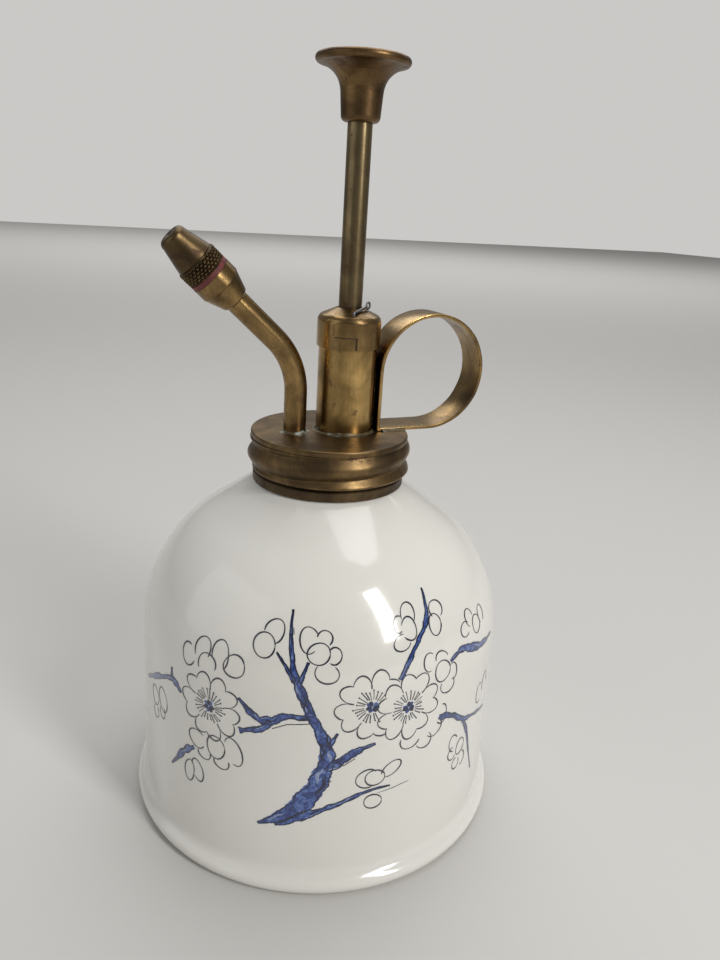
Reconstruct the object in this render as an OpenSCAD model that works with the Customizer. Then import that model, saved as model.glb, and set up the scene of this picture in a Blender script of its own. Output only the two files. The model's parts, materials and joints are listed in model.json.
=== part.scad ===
// Hand mister: a brass plunger pump screwed onto a white glazed, bell-shaped bottle.
// The origin is the centre of the bottle's foot, on the surface that it stands on. +Z points up,
// the finger ring is towards +X and the spout towards -X. All sizes are in millimetres.

/* [Bottle] */
// Diameter across the flared foot
foot_d = 100; // [84:1:125]
// Height of the bottle, to the top of its lip
bottle_h = 98.4; // [82:0.1:125]
// Height at which the side wall turns into the dome
wall_h = 49.4; // [40:0.1:60]
// Thickness of the glazed wall
bottle_wall = 3.5; // [2.5:0.1:4.5]
// Thickness of the bottle's floor
floor_t = 4; // [3:0.1:6]
// How far the foot flares out past the wall
foot_flare = 2.3; // [1.5:0.1:3.5]
// How much the side wall narrows on its way up to the dome
wall_taper = 0.65; // [0:0.05:2]
// Half-width of the dome's elliptical curve
dome_curve = 34.5; // [28:0.5:40]
// Angle of the dome's curve at which it runs straight to the neck
dome_turn = 56.5; // [50:0.5:62]
// Width of the ring that the bottle stands on
foot_ring_w = 6; // [4:0.5:9]
// Depth of the hollow under the foot
foot_recess = 2.5; // [1:0.1:3.5]

/* [Neck and collar] */
// Bore of the bottle's neck
neck_bore_d = 28; // [27.6:0.1:34]
// Wall of the bottle's neck
neck_wall = 2.4; // [2:0.1:3.5]
// Height of the neck above the dome
neck_h = 8.5; // [7.5:0.1:12]
// Thickness of the cement between the neck and the collar
cement_t = 0.6; // [0.3:0.05:1]
// Wall of the collar's upper sleeve
collar_wall = 1; // [0.7:0.1:1.4]
// How far the collar's lower band stands out from its sleeve
collar_band = 1.3; // [0.8:0.1:2]
// Height of the collar's lower band
collar_band_h = 2.9; // [2:0.1:3.6]

/* [Screw cap] */
// Thickness of the cap's top plate
plate_t = 1.3; // [1:0.1:2]
// Thickness of the washer under the plate
cap_gasket_t = 1.2; // [0.8:0.1:2]
// Wall of the cap's rolled ring
ring_wall = 0.9; // [0.6:0.05:1.1]
// Height of the rolled thread above its grooves
thread_depth = 1.4; // [0.8:0.05:1.8]
// Distance between turns of the rolled thread
thread_pitch = 5.4; // [4:0.1:7]

/* [Pump barrel] */
// Outer diameter of the barrel
barrel_d = 14.5; // [13:0.1:14.8]
// Wall of the barrel
barrel_wall = 0.9; // [0.6:0.05:1.2]
// Height of the barrel above the cap's plate
barrel_rise = 26.6; // [22:0.1:34]
// Length of the barrel below the cap's plate
barrel_drop = 35; // [30:0.5:42]
// Distance from the bottle's axis to the barrel's axis
barrel_x = 3.8; // [3.6:0.1:5]
// Height of the barrel cap's skirt
skirt_h = 8; // [6:0.1:10]
// Wall of the barrel cap's skirt
skirt_wall = 0.55; // [0.4:0.05:0.8]
// Height of the cone on the barrel cap
cap_cone_h = 1.3; // [1:0.1:3]
// Angle that the barrel cap turns to unlock
bayonet_turn = 40; // [25:1:60]

/* [Plunger] */
// Diameter of the plunger's rod
rod_d = 5.7; // [4.5:0.1:6.5]
// Length that the plunger travels when it is pressed
stroke = 38; // [25:0.5:39]
// Diameter of the thumb knob
knob_d = 21.4; // [16:0.1:28]
// Height of the thumb knob
knob_h = 13.6; // [12:0.1:20]
// Thickness of the knob's rim
knob_rim_t = 2; // [1.2:0.1:3]
// Diameter of the knob's stem
knob_stem_d = 9.2; // [8.5:0.1:12]
// Wire diameter of the return spring
spring_wire_d = 0.9; // [0.6:0.05:1.1]
// Number of turns in the return spring
spring_turns = 8; // [6:1:9]

/* [Spout and nozzle] */
// Outer diameter of the spout tube
tube_d = 5.6; // [5:0.1:6.2]
// Wall of the spout tube
tube_wall = 0.8; // [0.5:0.05:1]
// Distance from the bottle's axis to the spout tube's axis
spout_x = 9.5; // [9:0.1:9.8]
// Straight rise of the spout tube above the cap's plate
spout_rise = 10; // [6:0.5:20]
// Bend radius of the spout tube's centre line
bend_r = 18; // [12:0.5:30]
// Angle between the nozzle and the vertical
nozzle_tilt = 47; // [30:1:60]
// Straight length of tube between the bend and the nozzle
spout_reach = 13; // [8:0.5:25]
// Largest diameter of the nozzle
nozzle_d = 10.2; // [9.6:0.1:13]
// Diameter of the spray hole
orifice_d = 0.7; // [0.4:0.1:1.2]
// Distance that one turn moves the nozzle cap
nozzle_pitch = 0.75; // [0.5:0.05:1]

/* [Finger ring] */
// Outer diameter of the finger ring
loop_d = 29.7; // [25:0.1:40]
// Width of the ring's strip
strip_w = 9.3; // [7:0.1:12]
// Thickness of the ring's strip
strip_t = 0.9; // [0.6:0.1:1.4]

/* [Dip tube] */
// Outer diameter of the dip tube
dip_d = 5; // [4:0.1:5.5]
// Wall of the dip tube
dip_wall = 0.8; // [0.5:0.05:1]
// Gap between the strainer and the bottle's floor
dip_gap = 1.5; // [1:0.1:5]

/* [Fits] */
// Radial clearance of a running fit
run_fit = 0.05; // [0.02:0.01:0.1]
// Gap between faces that meet but belong to pieces that move apart
face_gap = 0.05; // [0.02:0.01:0.2]
// Gap round pieces that move past each other
free_gap = 0.3; // [0.2:0.05:0.5]

/* [Hidden] */
$fn = 96;

brass = "#8d7337";
dark_brass = "#5c4a28";
steel = "#8f9193";

// Bottle: the dome is an ellipse that leaves the wall upright and ends in a straight slope.
foot_r = foot_d / 2;
lip_r = foot_flare;
foot_h = 6.8;
wall_r0 = foot_r - foot_flare;
wall_r1 = wall_r0 - wall_taper;
neck_bore_r = neck_bore_d / 2;
neck_r = neck_bore_r + neck_wall;
neck_z = bottle_h - neck_h;
neck_edge = 0.6;
dome_run = wall_r1 - neck_r - dome_curve * (1 - cos(dome_turn));
dome_cot = cos(dome_turn) / (dome_curve * sin(dome_turn));
dome_h = (neck_z - wall_h) / (sin(dome_turn) + dome_run * dome_cot);
dome_slope = dome_h * dome_cot;
dome_r = wall_r1 - dome_curve;
dome_steps = 20;
floor_z = foot_recess + floor_t;
floor_fillet = 8;
in_curve = dome_curve - bottle_wall;
in_dome_h = dome_h - bottle_wall;
in_slope = in_dome_h * cos(dome_turn) / (in_curve * sin(dome_turn));

// Collar: a sleeve cemented round the neck, with a wider band over the top of the dome.
collar_bore_r = neck_r + cement_t;
sleeve_r = collar_bore_r + collar_wall;
band_r = sleeve_r + collar_band;
collar_lift = 0.15;
band_edge = 0.4;
band_z = neck_z - (band_r - neck_r) * dome_slope + collar_lift;
band_top = band_z + collar_band_h;

// Cap: a flat plate soldered on a ring whose wall is rolled into a thread.
gasket_z = bottle_h + face_gap;
plate_z = gasket_z + cap_gasket_t + face_gap;
cap_z = plate_z + plate_t;
groove_r = sleeve_r + free_gap + 0.1 + ring_wall;
plate_r = groove_r + 0.6;
plate_edge = 0.5;
ring_z = band_top + free_gap;
ring_segments = 60;
ring_rows = 16;
ring_fade = 1.1;
ring_phase = 0.78;

// Barrel and its bayonet cap.
barrel_r = barrel_d / 2;
bore_r = barrel_r - barrel_wall;
barrel_top = cap_z + barrel_rise;
barrel_z = cap_z - barrel_drop;
skirt_in_r = barrel_r + run_fit;
skirt_r = skirt_in_r + skirt_wall;
skirt_z = barrel_top - skirt_h + 2.7;
cap_inner_z = barrel_top + 1.3;
cap_shoulder_r = 2;
cap_shoulder_z = cap_inner_z + 1.4;
rod_r = rod_d / 2;
rod_hole_r = rod_r + run_fit;
cone_r = skirt_r - cap_shoulder_r;
lug_r = 0.9;
lug_out = 0.35;
lug_z = skirt_z + 4.7;
lug_azimuth = -125;
channel_depth = lug_out + 0.1;
channel_h = 2 * (lug_r + free_gap);
channel_side = (lug_r + free_gap) / barrel_r * 180 / PI;
channel_skin = 0.45;
leg_step = 0.025;
guide_t = 1.2;
packing_t = 1.4;
packing_z = barrel_top - packing_t;

// Steel pin with an eye, which lies above the barrel cap's cone beside the rod. Its end is bent
// down into a hole in the cap's shoulder.
pin_r = 0.36;
pin_off = cone_r + 0.4;
pin_azimuth = -104;
pin_turn = 33;
pin_rise = 14;
pin_length = 5.4;
pin_eye_r = 0.75;
pin_wire_r = 0.26;
pin_lift = 0.6;
pin_hole_depth = 0.9;

// Plunger: knob and rod above, piston stack below. It rests at the top of its stroke.
piston_top = packing_z - free_gap;
washer_t = 2;
cup_t = 1.2;
cup_h = 5;
cup_wall = 0.9;
nut_t = 2.5;
nut_af = 6;
stud_r = 1.8;
washer_z = piston_top - washer_t;
cup_z = washer_z - cup_h;
cup_base_z = washer_z - cup_t;
nut_z = cup_base_z - nut_t;
stud_z = nut_z - 0.6;
knob_gap = 3;
knob_z = cap_shoulder_z + cap_cone_h + knob_gap + stroke;
knob_top = knob_z + knob_h;
knob_r = knob_d / 2;
knob_stem_r = knob_stem_d / 2;
knob_socket = 6;

// Valve block under the barrel, with a cross passage to the spout tube's column.
tube_r = tube_d / 2;
socket_depth = 4;
block_wall = 0.75;
block_r = barrel_r + block_wall;
block_top = barrel_z + socket_depth;
chamber_z = barrel_z - 6;
block_z = chamber_z - 3;
ball_chamber_r = 2.4;
inlet_ball_r = 2;
inlet_seat_r = 1.4;
inlet_lift = 1;
inlet_ball_z = chamber_z + sqrt(pow(inlet_ball_r, 2) - pow(inlet_seat_r, 2));
stop_pin_r = 0.4;
stop_pin_z = inlet_ball_z + inlet_ball_r + inlet_lift + 0.15 + stop_pin_r;
nose_r = dip_d / 2 + 1.3;
nose_h = 5;
dip_r = dip_d / 2;
passage_r = 0.9;
passage_z = chamber_z + 2.8;
plug_length = 2.5;
column_r = tube_r + 1.3;
column_z = passage_z - 3;
out_seat_r = 1.1;
out_ball_r = 1.6;
out_chamber_r = 1.95;
out_seat_z = barrel_z;
out_lift = 1;
out_ball_z = out_seat_z + sqrt(pow(out_ball_r, 2) - pow(out_seat_r, 2));
out_stop_z = out_ball_z + out_ball_r + out_lift + 0.25;
out_stop_t = 0.8;
tube_z = out_stop_z + out_stop_t;
column_top = tube_z + 5;

// Return spring, between the spring seat and the leather cup.
seat_t = 1;
spring_z = block_top + seat_t + face_gap;
spring_top = cup_base_z - face_gap;
spring_r = 4.7;
spring_sides = 6;
spring_steps = 16;

// Dip tube.
strainer_h = 5;
strainer_wall = 0.8;
strainer_z = floor_z + dip_gap;
strainer_slots = 4;

// Nozzle: lengths are measured along its own axis from the end of the visible tube.
bend_z = cap_z + spout_rise;
bend_overlap = 1.5;
bend_draw = 0.02;
bend_end_x = -spout_x - bend_r * (1 - cos(nozzle_tilt));
bend_end_z = bend_z + bend_r * sin(nozzle_tilt);
nozzle_x = bend_end_x - spout_reach * sin(nozzle_tilt);
nozzle_z = bend_end_z + spout_reach * cos(nozzle_tilt);
nozzle_r = nozzle_d / 2;
body_neck_r = tube_r + 0.65;
body_taper = 4.7;
body_len = 7.9;
spigot_r = 3.6;
spigot_end = 13.4;
spigot_bore_r = 2;
tube_inset = 3;
seal_t = 1.1;
cap_start = body_len + seal_t + 2 * face_gap;
knurl_len = 3.4;
cone_start = cap_start + knurl_len;
cone_base_r = nozzle_r - 0.35;
tip_r = 3.25;
tip_round = 1.3;
nozzle_end = 20.2;
thread_end = 14.2;
core_start = 9;
core_end = 14.4;
core_slots = 3;

// Finger ring: a strip bent into a loop that is square where it meets the barrel and the plate.
loop_r = loop_d / 2;
leg_x = barrel_x + barrel_r;
loop_x = leg_x + loop_r;
loop_z = cap_z + loop_r;
solder_h = 1;
solder_w = 1.3;
wedge_azimuth = 15;
wedge_gap = 0.005;

// Points along an elliptical arc, from one angle to another.
function arc(cx, cy, rx, ry, from, to, steps) =
    [for (i = [0 : steps]) let (a = from + (to - from) * i / steps) [cx + rx * cos(a), cy + ry * sin(a)]];

// Points along a curve that is pulled towards a corner.
function bend(p, corner, q, steps) =
    [for (i = [0 : steps]) let (t = i / steps)
        (1 - t) * (1 - t) * p + 2 * t * (1 - t) * corner + t * t * q];

// A tube along Z.
module pipe(outer, inner, z0, z1) {
    translate([0, 0, z0])
        difference() {
            cylinder(r = outer, h = z1 - z0);
            translate([0, 0, -1]) cylinder(r = inner, h = z1 - z0 + 2);
        }
}

// Places children on the barrel's axis.
module at_barrel() {
    translate([barrel_x, 0, 0]) children();
}

// Places children on the spout tube's axis.
module at_spout() {
    translate([-spout_x, 0, 0]) children();
}

// Places children at the nozzle, with their +Z along its axis.
module at_nozzle() {
    translate([nozzle_x, 0, nozzle_z]) rotate([0, -nozzle_tilt, 0]) children();
}

function bottle_outside() = let (
        lip = arc(foot_r - lip_r, lip_r, lip_r, lip_r, -90, 60, 8),
        lip_end = lip[len(lip) - 1]
    ) concat(
        lip,
        bend(lip_end, [wall_r0 + 0.2, lip_end[1] + 0.7], [wall_r0, foot_h], 5),
        arc(dome_r, wall_h, dome_curve, dome_h, 0, dome_turn, dome_steps),
        [[neck_r, neck_z], [neck_r, bottle_h - neck_edge], [neck_r - neck_edge, bottle_h]]
    );

function bottle_inside() = let (
        dome = arc(dome_r, wall_h, in_curve, in_dome_h, dome_turn, 0, dome_steps),
        top = dome[0]
    ) concat(
        [[neck_bore_r + neck_edge, bottle_h], [neck_bore_r, bottle_h - neck_edge]],
        [[neck_bore_r, top[1] + (top[0] - neck_bore_r) * in_slope]],
        dome,
        arc(wall_r0 - bottle_wall - floor_fillet, floor_z + floor_fillet, floor_fillet, floor_fillet, 0, -90, 8)
    );

module bottle() {
    color("#e9e7e1")
        rotate_extrude()
            polygon(concat(
                [[0, foot_recess], [foot_r - foot_flare - foot_ring_w, foot_recess]],
                [[foot_r - foot_flare - foot_ring_w + foot_recess / 2, 0]],
                bottle_outside(),
                bottle_inside(),
                [[0, floor_z]]
            ));
}

module neck_cement() {
    color("#cfc9ba")
        pipe(collar_bore_r, neck_r, neck_z + collar_lift, bottle_h - neck_edge);
}

module neck_collar() {
    color(dark_brass)
        rotate_extrude()
            polygon([
                [collar_bore_r, neck_z - (collar_bore_r - neck_r) * dome_slope + collar_lift],
                [band_r - band_edge, band_z + band_edge * dome_slope],
                [band_r, band_z + band_edge],
                [band_r, band_top - band_edge],
                [band_r - band_edge, band_top],
                [sleeve_r, band_top],
                [sleeve_r, bottle_h - 0.2],
                [sleeve_r - 0.2, bottle_h],
                [collar_bore_r, bottle_h]
            ]);
}

module cap_gasket() {
    color("#5a3a26")
        pipe(sleeve_r - 0.1, neck_bore_r + 0.3, gasket_z, gasket_z + cap_gasket_t);
}

module cap_plate() {
    color(brass)
        difference() {
            rotate_extrude()
                polygon(concat(
                    [[0, plate_z], [plate_r, plate_z]],
                    arc(plate_r - plate_edge, cap_z - plate_edge, plate_edge, plate_edge, 0, 90, 4),
                    [[0, cap_z]]
                ));
            at_barrel() translate([0, 0, plate_z - 1]) cylinder(r = barrel_r, h = plate_t + 2);
            at_spout() translate([0, 0, plate_z - 1]) cylinder(r = tube_r, h = plate_t + 2);
        }
}

// Outer radius of the rolled ring: a right-hand ridge that fades out at both ends.
function roll(z, a) = let (
        turn = (z - ring_z) / thread_pitch - a / 360 + ring_phase,
        ridge = pow(0.5 + 0.5 * cos(360 * turn), 0.65),
        fade = min(1, (z - ring_z) / ring_fade, (plate_z - z) / ring_fade)
    ) groove_r + thread_depth * ridge * sin(90 * max(0, fade));

function ring_points(inset) =
    [for (j = [0 : ring_rows], i = [0 : ring_segments - 1]) let (
            z = ring_z + (plate_z - ring_z) * j / ring_rows,
            a = 360 * i / ring_segments,
            r = roll(z, a) - inset
        ) [r * cos(a), r * sin(a), z]];

module cap_screw_ring() {
    n = ring_segments;
    shell = n * (ring_rows + 1);
    points = concat(ring_points(0), ring_points(ring_wall));
    outer = [for (j = [0 : ring_rows - 1], i = [0 : n - 1]) let (k = (i + 1) % n, a = j * n, b = a + n)
        each [[a + i, b + i, a + k], [a + k, b + i, b + k]]];
    inner = [for (f = outer) [f[0] + shell, f[2] + shell, f[1] + shell]];
    low = [for (i = [0 : n - 1]) let (k = (i + 1) % n)
        each [[i, k, shell + i], [k, shell + k, shell + i]]];
    last = ring_rows * n;
    high = [for (i = [0 : n - 1]) let (k = (i + 1) % n)
        each [[last + i, last + shell + i, last + k], [last + k, last + shell + i, last + shell + k]]];
    color(brass)
        polyhedron(points = points, faces = concat(outer, inner, low, high));
}

module pump_barrel() {
    color(brass)
        at_barrel() pipe(barrel_r, bore_r, barrel_z, barrel_top);
}

// Two lugs on opposite sides of the barrel, which hold the barrel cap.
module bayonet_lugs() {
    color(brass)
        at_barrel()
            for (side = [0, 180])
                rotate([0, 0, lug_azimuth + side])
                    intersection() {
                        translate([0, 0, lug_z]) rotate([0, 90, 0]) cylinder(r = lug_r, h = barrel_r + 2);
                        pipe(barrel_r + lug_out, barrel_r, lug_z - 2, lug_z + 2);
                    }
}

// The L-shaped channel for one lug, as a block between two radii. Its upright leg is a hair
// shallower than its upper run.
module channel(r0, r1, low, grow) {
    margin = grow / barrel_r * 180 / PI;
    start = lug_azimuth - channel_side - margin;
    leg = 2 * (channel_side + margin);
    rotate([0, 0, start])
        rotate_extrude(angle = bayonet_turn + leg)
            translate([r0, lug_z - channel_h / 2 - grow]) square([r1 - r0, channel_h + 2 * grow]);
    rotate([0, 0, start + bayonet_turn])
        rotate_extrude(angle = leg - 1)
            translate([r0 + leg_step, low]) square([r1 - r0 - 2 * leg_step, lug_z - low]);
}

module barrel_cap() {
    color(brass)
        at_barrel()
            difference() {
                union() {
                    rotate_extrude()
                        polygon(concat(
                            [[0, cap_inner_z], [0, cap_shoulder_z + cap_cone_h]],
                            [[rod_hole_r + 0.5, cap_shoulder_z + cap_cone_h]],
                            arc(cone_r, cap_shoulder_z - cap_shoulder_r, cap_shoulder_r, cap_shoulder_r, 75, 0, 8),
                            [[skirt_r, skirt_z], [skirt_in_r, skirt_z], [skirt_in_r, cap_inner_z]]
                        ));
                    for (side = [0, 180])
                        rotate([0, 0, side])
                            channel(skirt_r - 0.2, skirt_r + channel_skin, skirt_z + 0.1, channel_skin);
                }
                for (side = [0, 180])
                    rotate([0, 0, side]) channel(barrel_r - 0.5, barrel_r + channel_depth, skirt_z - 1, 0);
                translate([0, 0, cap_inner_z - 1]) cylinder(r = rod_hole_r, h = 6);
                at_cap_pin() translate([0, 0, -pin_hole_depth]) cylinder(r = pin_r, h = 3, $fn = 24);
            }
}

// Places children on the cap's shoulder, at the top of the pinhole.
module at_cap_pin() {
    rotate([0, 0, pin_azimuth]) translate([pin_off, 0, cap_shoulder_z]) children();
}

module cap_pin() {
    color(steel)
        at_barrel()
            at_cap_pin() {
                translate([0, 0, -pin_hole_depth])
                    cylinder(r = pin_r, h = pin_hole_depth + pin_lift, $fn = 24);
                translate([0, 0, pin_lift]) {
                    sphere(r = pin_r + 0.03, $fn = 24);
                    rotate([0, 90 - pin_rise, pin_turn - pin_azimuth]) {
                        cylinder(r = pin_r, h = pin_length, $fn = 24);
                        translate([0, 0, pin_length + pin_eye_r])
                            rotate([90, 0, 0])
                                rotate_extrude($fn = 32)
                                    translate([pin_eye_r, 0]) circle(r = pin_wire_r, $fn = 16);
                    }
                }
            }
}

module rod_guide() {
    color(brass)
        at_barrel() pipe(bore_r - 0.1, rod_hole_r, barrel_top + face_gap, barrel_top + face_gap + guide_t);
}

module rod_packing() {
    color("#3e2c1e")
        at_barrel() pipe(bore_r - run_fit, rod_hole_r, packing_z, barrel_top);
}

module plunger_rod() {
    color(brass)
        at_barrel() {
            translate([0, 0, piston_top]) cylinder(r = rod_r, h = knob_z + knob_socket - piston_top);
            translate([0, 0, stud_z]) cylinder(r = stud_r, h = piston_top - stud_z + 0.5);
        }
}

module plunger_knob() {
    rim = knob_rim_t / 2;
    flare_z = knob_top - knob_rim_t;
    waist_z = knob_z + 0.45 * knob_h;
    color(dark_brass)
        at_barrel()
            difference() {
                rotate_extrude()
                    polygon(concat(
                        [[0, knob_z], [knob_stem_r - 1.3, knob_z]],
                        arc(knob_stem_r - 1.3, knob_z + 1.2, 1.2, 1.2, -90, 0, 4),
                        bend([knob_stem_r + 0.25, waist_z], [knob_stem_r + 0.5, flare_z - 1.6], [knob_r - 1.5, flare_z - 0.1], 8),
                        arc(knob_r - rim, knob_top - rim, rim, rim, -60, 90, 8),
                        [[0, knob_top]]
                    ));
                translate([0, 0, knob_z - 1]) cylinder(r = rod_r, h = knob_socket + 1);
            }
}

module piston_washer() {
    color(brass)
        at_barrel() pipe(bore_r - 0.25, stud_r, washer_z, piston_top);
}

module piston_cup() {
    color("#6b4a2c")
        at_barrel()
            difference() {
                translate([0, 0, cup_z]) cylinder(r = bore_r - run_fit, h = cup_h);
                translate([0, 0, cup_z - 1]) cylinder(r = bore_r - run_fit - cup_wall, h = cup_h - cup_t + 1);
                translate([0, 0, cup_z - 1]) cylinder(r = stud_r, h = cup_h + 2);
            }
}

module piston_nut() {
    color(brass)
        at_barrel()
            translate([0, 0, nut_z])
                difference() {
                    cylinder(r = nut_af / 2 / cos(30), h = nut_t, $fn = 6);
                    translate([0, 0, -1]) cylinder(r = stud_r, h = nut_t + 2);
                }
}

// A coil spring: rings of points along a helix, joined side to side.
module return_spring() {
    steps = spring_turns * spring_steps;
    wire_r = spring_wire_d / 2;
    rise = spring_top - spring_z - 2 * wire_r;
    rings = [for (i = [0 : steps]) let (a = 360 * i / spring_steps, z = spring_z + wire_r + rise * i / steps)
        for (s = [0 : spring_sides - 1]) let (
            b = 90 + 360 * s / spring_sides,
            r = spring_r + wire_r * cos(b)
        ) [r * cos(a), r * sin(a), z + wire_r * sin(b)]];
    walls = [for (i = [0 : steps - 1], s = [0 : spring_sides - 1]) let (
            a = i * spring_sides + s,
            b = i * spring_sides + (s + 1) % spring_sides
        ) each [[a, b, a + spring_sides], [b, b + spring_sides, a + spring_sides]]];
    start = [for (s = [1 : spring_sides - 2]) [0, s + 1, s]];
    last = steps * spring_sides;
    end = [for (s = [1 : spring_sides - 2]) [last, last + s, last + s + 1]];
    color(steel)
        at_barrel() polyhedron(points = rings, faces = concat(walls, start, end));
}

module spring_seat() {
    color(brass)
        at_barrel() pipe(bore_r - 0.1, ball_chamber_r - 0.6, block_top, block_top + seat_t);
}

module valve_block() {
    color(brass)
        difference() {
            union() {
                at_barrel() translate([0, 0, block_z]) cylinder(r = block_r, h = block_top - block_z);
                at_barrel() translate([0, 0, block_z - nose_h]) cylinder(r = nose_r, h = nose_h + 1);
                at_spout() translate([0, 0, column_z]) cylinder(r = column_r, h = column_top - column_z);
                translate([-spout_x, -column_r + 0.6, column_z])
                    cube([spout_x + barrel_x, 2 * (column_r - 0.6), barrel_z - column_z]);
            }
            at_barrel() {
                pipe(barrel_r, bore_r - run_fit, barrel_z, block_top + 1);
                translate([0, 0, chamber_z]) cylinder(r = ball_chamber_r, h = block_top - chamber_z + 1);
                translate([0, 0, block_z - 1]) cylinder(r = inlet_seat_r, h = chamber_z - block_z + 2);
                translate([0, 0, block_z - nose_h - 1]) cylinder(r = dip_r, h = nose_h + 1);
                translate([0, -block_r - 1, stop_pin_z])
                    rotate([-90, 0, 0]) cylinder(r = stop_pin_r, h = 2 * block_r + 2);
            }
            translate([-spout_x - column_r - 1, 0, passage_z])
                rotate([0, 90, 0]) cylinder(r = passage_r, h = spout_x + column_r + 1 + barrel_x);
            at_spout() {
                translate([0, 0, passage_z]) cylinder(r = out_seat_r, h = out_seat_z - passage_z + 1);
                translate([0, 0, out_seat_z]) cylinder(r = out_chamber_r, h = out_stop_z - out_seat_z + 1);
                translate([0, 0, out_stop_z]) cylinder(r = tube_r, h = column_top - out_stop_z + 1);
            }
        }
}

module passage_plug() {
    color(brass)
        translate([-spout_x - column_r, 0, passage_z])
            rotate([0, 90, 0]) cylinder(r = passage_r, h = plug_length);
}

module inlet_ball() {
    color(steel)
        at_barrel() translate([0, 0, inlet_ball_z]) sphere(r = inlet_ball_r);
}

module inlet_stop_pin() {
    color(steel)
        at_barrel()
            translate([0, -block_r + 0.3, stop_pin_z])
                rotate([-90, 0, 0]) cylinder(r = stop_pin_r, h = 2 * block_r - 0.6);
}

module discharge_ball() {
    color(steel)
        at_spout() translate([0, 0, out_ball_z]) sphere(r = out_ball_r);
}

module discharge_stop() {
    color(brass)
        at_spout() pipe(tube_r, 1, out_stop_z, out_stop_z + out_stop_t);
}

module dip_tube() {
    color(brass)
        at_barrel() pipe(dip_r, dip_r - dip_wall, strainer_z + 1, block_z);
}

module dip_strainer() {
    color(brass)
        at_barrel()
            difference() {
                translate([0, 0, strainer_z]) cylinder(r = dip_r + strainer_wall, h = strainer_h);
                translate([0, 0, strainer_z + 1]) cylinder(r = dip_r, h = strainer_h);
                translate([0, 0, strainer_z - 1]) cylinder(r = dip_r - dip_wall, h = 3);
                for (i = [0 : strainer_slots - 1])
                    rotate([0, 0, 360 * i / strainer_slots])
                        translate([0, -0.4, strainer_z - 1]) cube([dip_r + strainer_wall + 1, 0.8, 1.9]);
            }
}

// The spout tube's path as a solid rod, lengthened a little past its ends. Bending has drawn
// the curved part a hair thinner, and it runs into the straight parts at both ends.
module spout_path(r, past) {
    at_spout() translate([0, 0, tube_z - past]) cylinder(r = r, h = bend_z - tube_z + past);
    translate([-spout_x - bend_r, 0, bend_z])
        rotate([90, bend_overlap, 0])
            rotate_extrude(angle = nozzle_tilt + 2 * bend_overlap)
                translate([bend_r, 0]) circle(r = r - bend_draw);
    at_nozzle() translate([0, 0, -spout_reach]) cylinder(r = r, h = spout_reach + tube_inset + past);
}

module spout_tube() {
    color(brass)
        difference() {
            spout_path(tube_r, 0);
            spout_path(tube_r - tube_wall, 1);
        }
}

module nozzle_body() {
    color(brass)
        at_nozzle()
            difference() {
                rotate_extrude()
                    polygon([
                        [0, 0], [body_neck_r - 0.3, 0], [body_neck_r, 0.3],
                        [nozzle_r - 0.2, body_taper - 0.2], [nozzle_r, body_taper + 0.2],
                        [nozzle_r, body_len], [spigot_r, body_len], [spigot_r, spigot_end], [0, spigot_end]
                    ]);
                translate([0, 0, -1]) cylinder(r = tube_r, h = tube_inset + 1);
                cylinder(r = spigot_bore_r, h = spigot_end + 1);
            }
}

module nozzle_gasket() {
    color("#7c2a2c")
        at_nozzle()
            pipe(nozzle_r - 0.05, spigot_r + run_fit, body_len + face_gap, body_len + face_gap + seal_t);
}

// The core that spins the water before the spray hole, with grooves along its side.
module swirl_core() {
    color(dark_brass)
        at_nozzle()
            difference() {
                union() {
                    translate([0, 0, core_start]) cylinder(r = spigot_bore_r, h = core_end - core_start);
                    translate([0, 0, core_end]) cylinder(r1 = spigot_bore_r, r2 = 0.8, h = 1.2);
                }
                for (i = [0 : core_slots - 1])
                    rotate([0, 0, 360 * i / core_slots])
                        translate([spigot_bore_r - 0.6, -0.3, core_start - 1]) cube([1.2, 0.6, 8]);
            }
}

module nozzle_cap() {
    color(dark_brass)
        at_nozzle()
            difference() {
                rotate_extrude()
                    polygon(concat(
                        [[0, cap_start], [nozzle_r - 0.2, cap_start], [nozzle_r, cap_start + 0.2]],
                        [[nozzle_r, cone_start - 0.2], [nozzle_r - 0.2, cone_start], [cone_base_r, cone_start]],
                        arc(tip_r - tip_round, nozzle_end - tip_round, tip_round, tip_round, 10, 90, 6),
                        [[0, nozzle_end]]
                    ));
                translate([0, 0, cap_start - 1]) cylinder(r = spigot_r + run_fit, h = thread_end - cap_start + 1);
                translate([0, 0, thread_end]) cylinder(r1 = spigot_r + run_fit, r2 = 1.2, h = 3.4);
                translate([0, 0, thread_end + 3]) cylinder(r = orifice_d / 2, h = 6, $fn = 32);
            }
}

// Outline of the finger ring, moved in from its outer face by a distance.
module loop_outline(inset) {
    translate([loop_x, loop_z]) circle(r = loop_r - inset);
    translate([leg_x + inset, cap_z + inset]) square(loop_r - inset);
}

module finger_ring() {
    color(brass)
        translate([0, strip_w / 2, 0])
            rotate([90, 0, 0])
                linear_extrude(strip_w)
                    difference() {
                        loop_outline(0);
                        loop_outline(strip_t);
                    }
}

// A hollow fillet of solder round a tube where it leaves the plate.
module fillet(r) {
    rotate_extrude()
        polygon(concat(
            [[r, cap_z], [r + solder_w, cap_z]],
            arc(r + solder_w, cap_z + solder_h, solder_w, solder_h, -90, -180, 6)
        ));
}

module barrel_solder() {
    color("#a9aa93")
        difference() {
            at_barrel() fillet(barrel_r);
            translate([leg_x - 0.4, -strip_w / 2, cap_z - 1]) cube([strip_w, strip_w, 4]);
        }
}

module spout_solder() {
    color("#a9aa93")
        at_spout() fillet(tube_r);
}

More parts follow.
